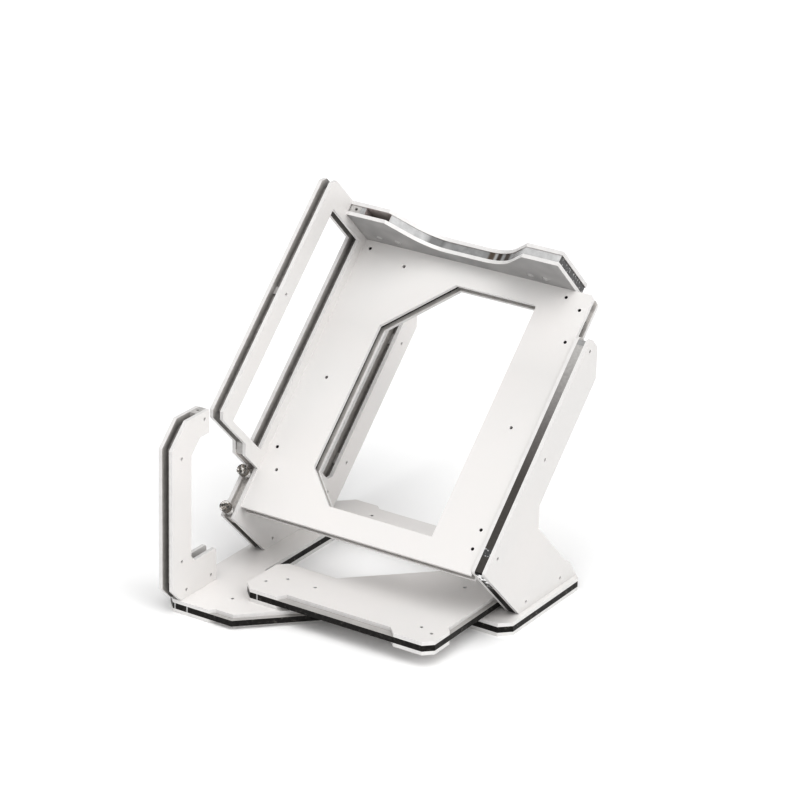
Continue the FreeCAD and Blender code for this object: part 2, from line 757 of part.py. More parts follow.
# Tray
tray_right_x = tray_width - tray_edge_in
left_edge_u = [tray_joint_low_u, tray_joint_high_u]
right_edge_u = right_joint_u + [right_joint_u[0] + tray_low_block, tray_top_u - tray_high_block]
top_block = (tray_width - tray_top_block, tray_joint_high_u)
tray_mid_u = (tray_bottom_u + tray_top_u) / 2
board_holes = [(board_top_in[0], tray_top_u - board_top_in[1]),
               (window_left - board_left_in, tray_mid_u),
               (window_right + board_right_in, tray_mid_u),
               (board_low_in[0], window_low_u + board_low_in[1])]


def tray_outline():
    return [(0, tray_bottom_u), (tray_width, tray_bottom_u),
            (tray_width, tray_top_u - tray_corner), (tray_width - tray_corner, tray_top_u),
            (0, tray_top_u)]


def tray_window():
    return [(window_left, window_low_u + window_low_chamfer),
            (window_left + window_low_chamfer, window_low_u),
            (window_right, window_low_u), (window_right, window_high_u, window_radius),
            (window_left + window_high_chamfer, window_high_u),
            (window_left, window_high_u - window_high_chamfer)]


def edge_block(node, x, edge, inwards, u, low):
    """Nut block near a side edge of the tray, tapped from that edge and from the front."""
    entry = NutBlock(node, TRAY, (x, u), low)
    entry.tap((edge, u, -joint_n), (inwards, 0, 0), edge_tap)
    entry.tap((x, u, low + core), (0, 0, -1), set_seat)
    return entry


def tray(parts):
    node = "tray_nut_blocks"
    low = plate - tray_back_n
    front = -tray_front_n
    for u in left_edge_u:
        corner_block = edge_block(node, tray_edge_in, 0, 1, u, low)
    for u in right_edge_u:
        edge_block(node, tray_right_x, tray_width, -1, u, low)
    for point in board_holes:
        NutBlock(node, TRAY, point, low).tap((*point, low), (0, 0, 1), core)
    shelf_block = NutBlock(node, TRAY, top_block, low)
    shelf_block.tap((*top_block, low + core), (0, 0, -1), set_seat)
    for entry, x in ((corner_block, tray_edge_in), (shelf_block, top_block[0])):
        entry.tap((x, tray_top_u, -joint_n), (0, -1, 0), shelf_drop - shelf_screw_short)
    marks = ([(tray_edge_in, u) for u in left_edge_u] + [(tray_right_x, u) for u in right_edge_u] +
             [top_block])
    for point in marks:
        set_screw("tray_set_screws", TRAY, point, front)
    windows = [tray_window()]
    outline = tray_outline()
    holes = rods(TRAY, hole, marks + board_holes, low + core, plate)
    parts["tray_back_plate"] = sheet(outline, low - plate, plate, TRAY, windows)
    parts["tray_core"] = drill(sheet(outline, low, core, TRAY, windows, core_inset),
                               pockets_of(node))
    parts["tray_front_plate"] = drill(sheet(outline, low + core, plate, TRAY, windows), holes)


# Shelf
shelf_covers = ([(x, joint_n - cover_in) for x in cover_left] +
                [(shelf_right - x, joint_n - cover_in) for x in cover_right])
shelf_joint_x = [tray_edge_in, top_block[0]]


def shelf_outline(edge=0):
    """Outline with the hand cut-out; edge takes the straight sides and the waist back."""
    rise = shelf_waist_n - shelf_front_n
    cut_right = shelf_right - shelf_right_tab
    front, waist = shelf_front_n + edge, shelf_waist_n + edge
    return [(edge, front), (shelf_left_tab, front),
            (shelf_left_tab + rise, waist, shelf_cut_radius),
            (cut_right - rise, waist, shelf_cut_radius),
            (cut_right, front), (shelf_right - edge, front),
            (shelf_right - edge, tray_back_n - edge), (edge, tray_back_n - edge)]


def shelf(parts):
    node = "shelf_nut_block"
    low = tray_top_u + plate
    block_x = core_edge + block / 2
    joints = [(x, joint_n) for x in shelf_joint_x]
    entry = NutBlock(node, SHELF, (block_x, shelf_joint[1]), low)
    entry.tap((0, shelf_joint[1], shelf_joint[0]), (1, 0, 0), plate + core)
    entry.tap((block_x + shelf_block_off, shelf_front_n, shelf_joint[0]), (0, 1, 0), set_length)
    pocket = box(SHELF, (shelf_pocket_left, shelf_front_n, low),
                 (shelf_pocket_right, shelf_front_n + shelf_pocket_deep, low + core))
    heads = rods(SHELF, head + head_room, joints, low, core)
    pins = rods(SHELF, hole, shelf_covers, low - plate, plate + core)
    sinks = rods(SHELF, cover_head + head_room, shelf_covers, low - plate, cover_sink)
    taps = rods(SHELF, thread, shelf_covers, low + core, plate - core_edge)
    for x, n in joints:
        cap_screw("shelf_joint_screws", SHELF, (x, n, low), (0, 0, -1),
                  plate + shelf_drop - shelf_screw_short - block_gap)
    for x, n in shelf_covers:
        cap = rod(SHELF, cover_head, (x, n, low - plate + block_gap), (0, 0, 1), cover_head_high)
        stem = rod(SHELF, shank, (x, n, low - plate + cover_sink), (0, 0, 1), core + plate)
        screws.setdefault("shelf_cover_screws", []).append(stem.fuse(cap).removeSplitter())
    lower = sheet(shelf_outline(), low - plate, plate, SHELF)
    middle = sheet(shelf_outline(core_edge), low, core, SHELF)
    upper = sheet(shelf_outline(), low + core, plate, SHELF)
    below = rods(SHELF, hole, joints, low - plate, plate) + pins + sinks
    parts["shelf_lower_plate"] = drill(lower, below)
    parts["shelf_core"] = drill(middle, [pocket] + pockets_of(node) + heads + pins)
    parts["shelf_upper_plate"] = drill(upper, rods(SHELF, hole, joints, low + core, plate) + taps)


# Assembly
def gathered():
    """Nut blocks and screws, each kind of one panel as one node."""
    nodes = {}
    for name, entries in blocks.items():
        nodes[name] = Part.makeCompound([one(drill(e.body, e.holes)) for e in entries])
    for name, solids in screws.items():
        nodes[name] = Part.makeCompound([one(solid) for solid in solids])
    return nodes


def one(solid):
    """The single solid of a cut result."""
    return solid.Solids[0] if len(solid.Solids) == 1 else solid


def build():
    parts = {}
    for make in (base_frame, cross_frame, card_bracket, left_side, thumb_screws, right_side,
                 tray, shelf):
        make(parts)
    parts.update(gathered())
    return parts


os.makedirs("parts", exist_ok=True)
for node_name, shape in build().items():
    one(shape).exportStep("parts/" + node_name + ".step")
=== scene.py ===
"""Looks of the open air test bench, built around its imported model.

The bench is bolted up from sandwich panels: white acrylic plates with a core
sheet between them. Lengths are in metres and the axes are the model's own: X to
the right along the tray, Y to the back, Z up. Tray height runs up the tray and
tray depth square out of it, both from the corner where the left panel's sloping
front edge meets the base.
"""

import math

import bpy
from mathutils import Matrix, Vector

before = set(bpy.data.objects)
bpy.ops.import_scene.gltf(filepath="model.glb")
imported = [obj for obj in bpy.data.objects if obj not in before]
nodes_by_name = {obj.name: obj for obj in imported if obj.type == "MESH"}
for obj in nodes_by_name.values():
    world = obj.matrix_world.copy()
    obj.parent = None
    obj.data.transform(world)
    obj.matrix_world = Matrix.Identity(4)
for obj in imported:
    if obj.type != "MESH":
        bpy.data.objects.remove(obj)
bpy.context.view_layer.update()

# Camera, fitted to the photograph
photo_size = 800
focal_pixels = 3541.0
sensor_width = 36.0
camera_azimuth = math.radians(32.514)
camera_elevation = math.radians(22.826)
camera_roll = math.radians(1.427)
camera_reach = 100.0
anchor_pixel = (265.0, 550.0)           # where the left panel meets the base, at the front
anchor_point = Vector((0.0, 0.0, 0.014))
anchor_depth = 3.541

# Light: name, energy and the direction it comes from
lamps = [
    ("right_low", 0.83, (0.85, -0.10, 0.50)),
    ("above", 1.35, (0.25, -0.25, 0.93)),
    ("front_low", 0.50, (0.0, -0.90, 0.43)),
]
lamp_angle = math.radians(50.0)
room_white = (1.0, 1.0, 1.0, 1.0)
room_strength = 0.64
view_gamma = 0.75
floor_half = 9.0

# Directions of the sheets
lean = math.radians(45.0)
along_x = Vector((1, 0, 0))
backwards = Vector((0, 1, 0))
upright = Vector((0, 0, 1))
tray_out = Vector((0, -math.sin(lean), math.cos(lean)))
tray_up = Vector((0, math.cos(lean), math.sin(lean)))
base_top = anchor_point.z
sheet_limit = 0.5                       # cosine that tells a sheet's face from its cut edge
facing_limit = 0.9                      # cosine of a face that looks along a direction

# Soft edges
edge_radius = 0.00035
edge_segments = 2
edge_angle = math.radians(38.0)
flat_angle = math.radians(1.0)
weld_distance = 1e-6
shade_weight = 100

# Noise
noise_detail = 4.0
coarse_detail = 3.0                     # for chips and the thumb screws' faces
relief_detail = 2.0
noise_roughness = 0.55
patch_low, patch_high = 0.3, 0.7        # between these noise values one tone turns into another
grain_high = 0.68
chip_edge = 0.03                        # chips turn light over twice this much

# Colours
white = (0.715, 0.705, 0.695)
white_warm = (0.73, 0.712, 0.70)
# Painted shade: the plates' inner sides, seen in the gaps where the cores stand back
gap_shade_pale = (0.66, 0.64, 0.62)
black = (0.008, 0.007, 0.007)
black_soft = (0.024, 0.022, 0.020)
black_chip = (0.108, 0.099, 0.090)
grey = (0.26, 0.25, 0.24)
grey_soft = (0.38, 0.365, 0.355)
# painted reflection: the base cores' top faces are light grey for the bright room mirrored in
# their glossy black
ledge_reflection_grey = (0.42, 0.41, 0.40)
tan = (0.125, 0.097, 0.076)
brown = (0.055, 0.039, 0.030)
face_lift = 1.12                        # light patches of a core's face against its dark ones
tarnish = 0.72                          # dull patches of a metal against its bright ones

# Patches: noise scale, first and second tone, then their noise values where they aren't the usual
face_scale = 9.0
face_bounds = (0.35, 0.65)
cut_patches = (140.0, (0.66, 0.65, 0.645), white)
# Painted shade on the shelf's lower face
under_shade_patches = (40.0, (0.30, 0.295, 0.295), (0.41, 0.405, 0.40))
# Painted shade on the plates' inner sides in the gaps
gap_shade_patches = (120.0, (0.54, 0.52, 0.50), gap_shade_pale)
shelf_gap_shade_patches = (90.0, (0.56, 0.50, 0.49), gap_shade_pale)
slot_patches = (500.0, 0.30, 0.52)
leg_patches = (220.0, black, black_soft, 0.35, 0.7)
# Painted shade in the shelf's open pocket
pocket_shade_patches = (200.0, (0.32, 0.28, 0.27), (0.44, 0.39, 0.38))
block_patches = (180.0, (0.42, 0.41, 0.40), (0.55, 0.54, 0.53))
leg_top_patches = (180.0, 0.30, 0.38)
floor_patches = (0.6, 0.93, 0.95)
core_face_scale = 60.0
metal_scale = 500.0
metal_bounds = (0.3, 0.6)

# More than two tones, of a core's cut edge and the thumb screws' faces, whose brightest tone is a
# painted highlight: noise scale and ramp stops
cut_scale = 260.0
black_cut = [(0.35, black), (0.6, black_soft), (0.70, black_chip)]
grey_cut = [(0.35, grey), (0.6, grey_soft)]
thumb_face_scale = 330.0
thumb_face_highlights = [(0.38, (0.04, 0.04, 0.038)), (0.46, (0.28, 0.28, 0.27)),
                    (0.52, (0.24, 0.19, 0.15)), (0.58, (0.95, 0.94, 0.92))]

# Chips: noise scale, the noise value at their rims, dark and light tone
few_chips = (260.0, 0.54, 0.03, 0.40)
many_chips = (230.0, 0.46, 0.04, 1.0)
joint_chips = (420.0, 0.60, 0.09, 0.45)
block_chips = (330.0, 0.60, 0.09, 0.60)
shelf_end_chips = (300.0, 0.59, 0.06, 0.34)

# Grain: noise scale and its darkest tone
leg_edge_grain = (400.0, 0.84)
shelf_grain = (130.0, 0.74)
thumb_grain = (420.0, 0.35)

# Gloss: noise scale, lowest and highest roughness. Relief: noise scale, strength and depth
white_gloss = (160.0, 0.34, 0.46)
core_gloss = (300.0, 0.28, 0.42)
leg_gloss = (300.0, 0.30, 0.42)
thumb_gloss = (600.0, 0.16, 0.34)
metal_gloss_scale = 900.0
metal_gloss_spread = (0.7, 1.3)
white_relief = (1400.0, 0.05, 0.0002)
core_relief = (900.0, 0.06, 0.0002)
leg_relief = (900.0, 0.05, 0.0002)
block_relief = (1200.0, 0.08, 0.0002)
metal_relief = (2500.0, 0.06, 0.0001)

# Shader values that are the same all over a material; spaces in their names are underscores
usual_shader = {"Roughness": 0.4}
white_shader = {"Coat_Weight": 0.12, "Coat_Roughness": 0.22}
core_shader = {"Specular_IOR_Level": 0.25}
leg_block_shader = {"Roughness": 0.36}
shelf_core_shader = {"Roughness": 0.22, "Coat_Weight": 0.3, "Coat_Roughness": 0.08}
block_shader = {"Roughness": 0.38}
thumb_shader = {"Metallic": 0.55}
floor_shader = {"Roughness": 0.6}

# Tones along a measure: its values at the ramp's two ends, then the ramp's stops
tray_span = (0.0, 0.305)                # tray height
# painted shade on the tray's upper part, below the shelf
tray_shade_tones = [(0.0, 1.0), (0.45, 0.985), (0.75, 0.93), (0.95, 1.0)]
leg_span = (0.01, 0.28)                 # tray height
leg_tones = [(0.0, (0.085, 0.079, 0.074)), (0.42, (0.105, 0.097, 0.091)),
             (0.62, (0.20, 0.19, 0.185)), (0.95, (0.50, 0.49, 0.48))]
left_gap_span = (-0.070, 0.175)         # tray depth
# painted shade in the left panel's gap: light at the rims, dark where the core begins
left_gap_shade_tones = [(0.004, 0.42), (0.030, 1.0), (0.049, 1.0), (0.10, 0.55), (0.561, 0.45),
                  (0.598, 1.0), (0.602, 0.45), (0.639, 1.0), (0.665, 0.50), (0.961, 0.45),
                  (0.998, 1.0)]
bracket_gap_span = (0.0, 0.009)         # distance from the rim to where the core begins
# painted shade in the card bracket's gap, darker inwards
bracket_gap_shade_tones = [(0.0, 0.95), (0.45, 0.68), (1.0, 0.38)]
shelf_span = (0.0, 0.2447)              # X
# painted reflections on the shelf's clear cut edge and the painted look of what lies behind it
shelf_reflection_tones = [(0.0, 0.45), (0.185, 0.42), (0.20, 0.56), (0.30, 0.50), (0.322, 0.42),
               (0.335, 0.17), (0.385, 0.20), (0.402, 0.36), (0.600, 0.34), (0.608, tan),
               (0.628, tan), (0.636, 0.52), (0.644, 0.48), (0.650, brown), (0.666, brown),
               (0.674, 0.36), (0.686, 0.32), (0.692, brown), (0.712, brown), (0.722, 0.33),
               (0.738, 0.30), (0.748, (0.10, 0.085, 0.08)), (0.79, 0.26), (0.83, 0.60),
               (1.0, 0.62)]
thumb_span = (0.0765, 0.0900)           # tray depth, from the collar's foot to the head's end
# painted light and shade on the thumb screws: collar painted bright, painted shade where it meets
# the head
thumb_light_tones = [(0.0, (0.50, 0.49, 0.48)), (0.20, (0.95, 0.94, 0.92)),
               (0.44, (0.90, 0.89, 0.87)), (0.50, (0.10, 0.068, 0.048)),
               (0.58, (0.16, 0.125, 0.10)), (0.66, (0.36, 0.33, 0.30)),
               (0.98, (0.34, 0.335, 0.32))]

# Places. A pair of a middle and a half width is a band
notch_band = (0.051, 0.009)             # tray height of the notch above the upper thumb screw
# painted light that lifts the shade in the notch
notch_painted_light = (0.80, 0.76, 0.74)
bracket_front = 0.1553                  # card bracket's rims: front, top and slope
bracket_top = 0.1995
bracket_slope = 0.3313
nick_front = -0.109                     # nick in the bracket's foot, behind this Y
nick_band = (0.044, 0.008)              # its Z
# painted light that lifts the shade in the nick
nick_painted_light = (0.62, 0.61, 0.60)
base_bars = (-0.0065, 0.0079)           # X of the light slots in the base cores' front edges
cross_bars = (0.0635,)
bar_half = 0.0009
few_chips_from = 0.042                  # tray depth along the leg's lower edge
many_chips_from = 0.055
leg_joint = 0.0404                      # tray height of the leg's lower joint line
core_joint_half = 0.004
block_joint_half = 0.008
leg_top = 0.2660                        # tray height of its upper joint line
# half width of the painted highlight along that joint line
leg_top_highlight_half = 0.0007
pocket_start, pocket_end = 0.0188, 0.0472       # X of the shelf's open pocket
shelf_end = 0.20                        # beyond this X, faces along X are the shelf's right end

# Screws: material, colour, roughness, share of metal and the nodes that it is on
screws = [
    ("dark_screw", (0.05, 0.05, 0.052), 0.38, 1.0, ["tray_set_screws"]),
    ("cover_screw", (0.56, 0.555, 0.55), 0.45, 0.0, ["shelf_cover_screws"]),
    ("side_screw", (0.66, 0.65, 0.64), 0.40, 0.0,
     ["card_bracket_set_screws", "left_side_set_screws", "right_side_set_screws"]),
    ("clamp_screw", (0.30, 0.30, 0.30), 0.40, 0.5,
     ["base_clamp_screws", "front_cross_clamp_screws"]),
    ("zinc_screw", (0.55, 0.56, 0.57), 0.32, 1.0,
     ["base_joint_screws", "front_cross_joint_screws", "left_joint_screws",
      "right_joint_screws", "shelf_joint_screws"]),
]
bar_metal = ("dull_bar", (0.56, 0.54, 0.52), 0.45, 0.0)


def scaled(values, factor):
    """A colour or a pair of numbers times a factor."""
    return tuple(factor * value for value in values)


def enabled(sockets):
    """The sockets that a node shows in its present mode."""
    return [socket for socket in sockets if socket.enabled]


def put(value, socket):
    """Links the socket to an output, or sets it to a colour, vector or number."""
    if hasattr(value, "is_output"):
        socket.id_data.links.new(value, socket)
    elif isinstance(value, tuple):
        socket.default_value = (*value, 1.0)
    else:
        socket.default_value = value


def feed(node, **values):
    """Puts values on inputs by name; underscores stand for spaces."""
    for key, value in values.items():
        put(value, node.inputs[key.replace("_", " ")])


class Finish:
    """A node material: its Principled shader and short calls that add nodes to it."""

    def __init__(self, name, **shader):
        self.material = bpy.data.materials.new(name)
        self.material.use_nodes = True
        self.tree = self.material.node_tree
        self.shader = self.tree.nodes["Principled BSDF"]
        feed(self.shader, **{**usual_shader, **shader})
        self.place = self.add("ShaderNodeTexCoord").outputs["Object"]

    def add(self, kind, **settings):
        node = self.tree.nodes.new(kind)
        for key, value in settings.items():
            setattr(node, key, value)
        return node

    def noise(self, scale, detail=noise_detail):
        node = self.add("ShaderNodeTexNoise")
        feed(node, Vector=self.place, Scale=scale, Detail=detail, Roughness=noise_roughness)
        return node.outputs["Fac"]

    def dot(self, source, direction):
        node = self.add("ShaderNodeVectorMath", operation="DOT_PRODUCT")
        put(source, node.inputs[0])
        put(direction, node.inputs[1])
        return node.outputs["Value"]

    def math(self, operation, *values):
        node = self.add("ShaderNodeMath", operation=operation)
        for socket, value in zip(node.inputs, values):
            put(value, socket)
        return node.outputs[0]

    def above(self, value, limit):
        """1 where the value is over the limit, 0 elsewhere."""
        return self.math("GREATER_THAN", value, limit)

    def both(self, first, second):
        """1 where both masks are 1."""
        return self.math("MULTIPLY", first, second)

    def near(self, value, middle, half):
        """1 where the value lies within half of the middle."""
        off = self.math("ABSOLUTE", self.math("SUBTRACT", value, middle))
        return self.math("LESS_THAN", off, half)

    def span(self, value, low, high, to_low=0.0, to_high=1.0):
        node = self.add("ShaderNodeMapRange")
        feed(node, Value=value, From_Min=low, From_Max=high, To_Min=to_low, To_Max=to_high)
        return node.outputs["Result"]

    def ramp(self, value, stops):
        """Colour ramp; stops are (position, colour) with colour a grey or an RGB triple."""
        node = self.add("ShaderNodeValToRGB")
        elements = node.color_ramp.elements
        while len(elements) < len(stops):
            elements.new(1.0)
        for element, (position, colour) in zip(elements, stops):
            element.position = position
            triple = colour if isinstance(colour, tuple) else (colour,) * 3
            element.color = (*triple, 1.0)
        put(value, node.inputs["Fac"])
        return node.outputs["Color"]

    def along(self, value, bounds, stops):
        """Ramp over a measure that runs from one bound to the other."""
        return self.ramp(self.span(value, *bounds), stops)

    def patches(self, scale, first, second, low=patch_low, high=patch_high):
        """Soft patches of two tones."""
        return self.ramp(self.noise(scale), [(low, first), (high, second)])

    def chips(self, scale, start, dark, light):
        """Light chips on a dark cut edge."""
        return self.ramp(self.noise(scale, coarse_detail),
                         [(start - chip_edge, dark), (start + chip_edge, light)])

    def mix(self, factor, first, second, blend="MIX"):
        node = self.add("ShaderNodeMix", data_type="RGBA", blend_type=blend)
        for value, socket in zip((factor, first, second), enabled(node.inputs)):
            put(value, socket)
        return enabled(node.outputs)[0]

    def times(self, first, second):
        """Product of two colours."""
        return self.mix(1.0, first, second, "MULTIPLY")

    def grained(self, colour, scale, low):
        """The colour with a fine dark grain."""
        return self.times(colour, self.patches(scale, low, 1.0, high=grain_high))

    def cosine(self, direction):
        """Cosine between the face's normal and the direction."""
        return self.dot(self.add("ShaderNodeNewGeometry").outputs["True Normal"], direction)

    def on_face(self, direction):
        """1 on the faces that look along the direction or against it, 0 on cut edges."""
        return self.above(self.math("ABSOLUTE", self.cosine(direction)), sheet_limit)

    def facing(self, direction):
        """1 on the faces that look along the direction."""
        return self.above(self.cosine(direction), facing_limit)

    def tray_height(self):
        """Distance up the tray."""
        return self.math("SUBTRACT", self.dot(self.place, tray_up), base_top * math.sin(lean))

    def tray_depth(self):
        """Distance square out of the tray."""
        return self.math("SUBTRACT", self.dot(self.place, tray_out), base_top * math.cos(lean))

    def colour(self, value):
        feed(self.shader, Base_Color=value)

    def gloss(self, scale, low, high):
        """Roughness that wanders between low and high."""
        feed(self.shader, Roughness=self.span(self.noise(scale), patch_low, patch_high, low, high))

    def relief(self, scale, strength, depth):
        """Fine unevenness for the light to catch."""
        node = self.add("ShaderNodeBump")
        feed(node, Height=self.noise(scale, relief_detail), Strength=strength, Distance=depth)
        feed(self.shader, Normal=node.outputs["Normal"])


def plain_gap_shade(finish):
    """Painted shade on a plate's inner side, seen where its core stands back."""
    return finish.patches(*gap_shade_patches)


def left_gap_shade(finish):
    """Left panel: painted shade, light at the rims and dark where the core begins, and painted
    light in the notch.
    """
    shade = finish.along(finish.tray_depth(), left_gap_span, left_gap_shade_tones)
    notch = finish.near(finish.tray_height(), *notch_band)
    return finish.mix(notch, finish.times(plain_gap_shade(finish), shade), notch_painted_light)


def bracket_gap_shade(finish):
    """Card bracket: painted shade, light at its three outer rims and dark inwards, and painted
    light in the foot's nick.
    """
    y = finish.dot(finish.place, backwards)
    z = finish.dot(finish.place, upright)
    from_front = finish.math("ADD", y, bracket_front)
    from_top = finish.math("SUBTRACT", bracket_top, z)
    from_slope = finish.math("ADD", finish.math("SUBTRACT", y, z), bracket_slope)
    inset = finish.math("MINIMUM", finish.math("MINIMUM", from_front, from_top), from_slope)
    shade = finish.along(inset, bracket_gap_span, bracket_gap_shade_tones)
    nick = finish.both(finish.above(y, nick_front), finish.near(z, *nick_band))
    return finish.mix(nick, finish.times(plain_gap_shade(finish), shade), nick_painted_light)


def shelf_gap_shade(finish):
    """Shelf: painted shade on the upper plate's inner side, seen in the open pocket."""
    return finish.patches(*shelf_gap_shade_patches)


def tray_shade(finish, colour):
    """Tray: painted shade, a faint darkening of its upper part below the shelf."""
    return finish.times(colour, finish.along(finish.tray_height(), tray_span, tray_shade_tones))


def shelf_under_shade(finish, colour):
    """Shelf: painted shade makes its lower face grey."""
    return finish.mix(finish.facing(-tray_up), colour, finish.patches(*under_shade_patches))


def white_acrylic(name, inward, painted_light_tone=1.0, gap_shade=plain_gap_shade, shade_change=None):
    """Satin white sheet; its sawn edges are a little greyer and show fine cut marks.

    inward is the direction to its core. The other arguments paint light and shade: a factor lifts
    or lowers the white of its faces, one colour is the painted shade on its side on the core, and
    one adds any other painted shade."""
    finish = Finish(name, **white_shader)
    # The faces' white, lifted or lowered per plate as painted light or shade.
    face = finish.patches(face_scale, scaled(white, painted_light_tone), scaled(white_warm, painted_light_tone), *face_bounds)
    colour = finish.mix(finish.on_face(inward), finish.patches(*cut_patches), face)
    # Painted shade on its side on the core, seen in the gap.
    colour = finish.mix(finish.facing(inward), colour, gap_shade(finish))
    # Other painted shade, on the tray's upper part and on the shelf's lower face.
    if shade_change:
        colour = shade_change(finish, colour)
    finish.colour(colour)
    finish.gloss(*white_gloss)
    finish.relief(*white_relief)
    return finish.material


def core_acrylic(name, sheet_normal, cut=black_cut, face=black_soft, bars=(), lit_in_notch=False):
    """Dark or grey core sheet.

    bars are X places where a light slot crosses its front edge; the notch flag paints light on the
    core where it lies open in the notch above the upper thumb screw, against its shade."""
    finish = Finish(name, **core_shader)
    edge = finish.ramp(finish.noise(cut_scale), cut)
    top = finish.patches(core_face_scale, face, scaled(face, face_lift))
    colour = finish.mix(finish.on_face(sheet_normal), edge, top)
    for middle in bars:
        across = finish.near(finish.dot(finish.place, along_x), middle, bar_half)
        slot = finish.both(across, finish.facing(-backwards))
        colour = finish.mix(slot, colour, finish.patches(*slot_patches))
    # Painted light on the core in the notch, against its shade.
    if lit_in_notch:
        notch = finish.near(finish.tray_height(), *notch_band)
        colour = finish.mix(notch, colour, notch_painted_light)
    finish.colour(colour)
    finish.gloss(*core_gloss)
    finish.relief(*core_relief)
    return finish.material


def leg_edge_fade(finish):
    """Tone along the leg's front edge: black at the foot, grey towards the top."""
    return finish.grained(finish.along(finish.tray_height(), leg_span, leg_tones), *leg_edge_grain)


def leg_core():
    """Core of the right side panel; near the tray its lower edge is chipped."""
    finish = Finish("leg_core", **core_shader)
    lower = finish.facing(-tray_up)
    depth = finish.tray_depth()
    few = finish.both(lower, finish.above(depth, few_chips_from))
    many = finish.both(lower, finish.above(depth, many_chips_from))
    colour = finish.mix(few, finish.patches(*leg_patches), finish.chips(*few_chips))
    colour = finish.mix(many, colour, finish.chips(*many_chips))
    joint = finish.near(finish.tray_height(), leg_joint, core_joint_half)
    strip = finish.mix(joint, leg_edge_fade(finish), finish.chips(*joint_chips))
    finish.colour(finish.mix(finish.facing(tray_out), colour, strip))
    finish.gloss(*leg_gloss)
    finish.relief(*leg_relief)
    return finish.material


def leg_block():
    """Blocks at the leg's front edge: darker towards the foot like its core's edge, with a painted
    highlight along the joint line at the top.
    """
    finish = Finish("leg_block", **leg_block_shader)
    height = finish.tray_height()
    joint = finish.near(height, leg_joint, block_joint_half)
    low_part = finish.mix(joint, leg_edge_fade(finish), finish.chips(*block_chips))
    top_part = finish.patches(*leg_top_patches)
    colour = finish.mix(finish.above(height, leg_top), low_part, top_part)
    # Painted highlight along the upper joint line.
    finish.colour(finish.mix(finish.near(height, leg_top, leg_top_highlight_half), colour, white))
    finish.relief(*block_relief)
    return finish.material


def shelf_core():
    """Clear core of the shelf: painted reflections and the painted look of what lies behind, in
    light and dark patches along its cut edge, and painted shade in the open pocket.
    """
    finish = Finish("shelf_core", **shelf_core_shader)
    x = finish.dot(finish.place, along_x)
    edge = finish.grained(finish.along(x, shelf_span, shelf_reflection_tones), *shelf_grain)
    # Painted shade on the cut edge inside the open pocket.
    in_pocket = finish.both(finish.above(x, pocket_start),
                            finish.math("LESS_THAN", x, pocket_end))
    edge = finish.mix(in_pocket, edge, finish.patches(*pocket_shade_patches))
    at_end = finish.both(finish.facing(along_x), finish.above(x, shelf_end))
    finish.colour(finish.mix(at_end, edge, finish.chips(*shelf_end_chips)))
    return finish.material


def pale_block():
    """Milled acrylic nut block."""
    finish = Finish("pale_block", **block_shader)
    finish.colour(finish.patches(*block_patches))
    finish.relief(*block_relief)
    return finish.material


def screw_metal(name, colour, roughness, metallic):
    """Steel with fine turning marks and a little tarnish."""
    finish = Finish(name, Metallic=metallic)
    finish.colour(finish.patches(metal_scale, scaled(colour, tarnish), colour, *metal_bounds))
    finish.gloss(metal_gloss_scale, *scaled(metal_gloss_spread, roughness))
    finish.relief(*metal_relief)
    return finish.material


def thumb_metal():
    """Nickel plate with painted light: mottled head with painted highlights on its end face,
    collar painted bright against the head's shadow, painted shade where they meet.
    """
    finish = Finish("thumb_metal", **thumb_shader)
    tones = finish.along(finish.tray_depth(), thumb_span, thumb_light_tones)
    side = finish.grained(tones, *thumb_grain)
    face = finish.ramp(finish.noise(thumb_face_scale, coarse_detail), thumb_face_highlights)
    finish.colour(finish.mix(finish.facing(tray_out), side, face))
    finish.gloss(*thumb_gloss)
    finish.relief(*metal_relief)
    return finish.material


def round_edges(node):
    """Soft edges for the light to catch; the sheet's own shape stays."""
    weld = node.modifiers.new("weld", "WELD")
    weld.merge_threshold = weld_distance
    flat = node.modifiers.new("flat", "DECIMATE")
    flat.decimate_type = "DISSOLVE"
    flat.angle_limit = flat_angle
    bevel = node.modifiers.new("edges", "BEVEL")
    bevel.width = edge_radius
    bevel.segments = edge_segments
    bevel.limit_method = "ANGLE"
    bevel.angle_limit = edge_angle
    bevel.use_clamp_overlap = True
    shade = node.modifiers.new("shade", "WEIGHTED_NORMAL")
    shade.weight = shade_weight


def dress(material, *names, soften=True):
    """Gives nodes their material and soft edges."""
    for name in names:
        node = nodes_by_name[name]
        node.data.materials.clear()
        node.data.materials.append(material)
        if soften:
            round_edges(node)


def dress_plates():
    """Plates, each with the direction to its core and its painted light and shade."""
    plates = {
        "base_bottom_plate": {"inward": upright},
        "base_top_plate": {"inward": -upright, "painted_light_tone": 1.06},
        "front_cross_bottom_plate": {"inward": upright},
        "front_cross_top_plate": {"inward": -upright, "painted_light_tone": 1.02},
        "card_bracket_outer_plate": {"inward": along_x, "gap_shade": bracket_gap_shade},
        "card_bracket_inner_plate": {"inward": -along_x, "gap_shade": bracket_gap_shade, "painted_light_tone": 1.06},
        "left_side_outer_plate": {"inward": along_x, "gap_shade": left_gap_shade},
        "left_side_inner_plate": {"inward": -along_x, "gap_shade": left_gap_shade, "painted_light_tone": 1.04},
        "right_side_inner_plate": {"inward": along_x},
        "right_side_outer_plate": {"inward": -along_x, "painted_light_tone": 0.95},
        "tray_front_plate": {"inward": -tray_out, "shade_change": tray_shade},
        "tray_back_plate": {"inward": tray_out},
        "shelf_upper_plate": {"inward": -tray_up, "gap_shade": shelf_gap_shade},
        "shelf_lower_plate": {"inward": tray_up, "shade_change": shelf_under_shade},
    }
    for name, look in plates.items():
        dress(white_acrylic(name, **look), name)


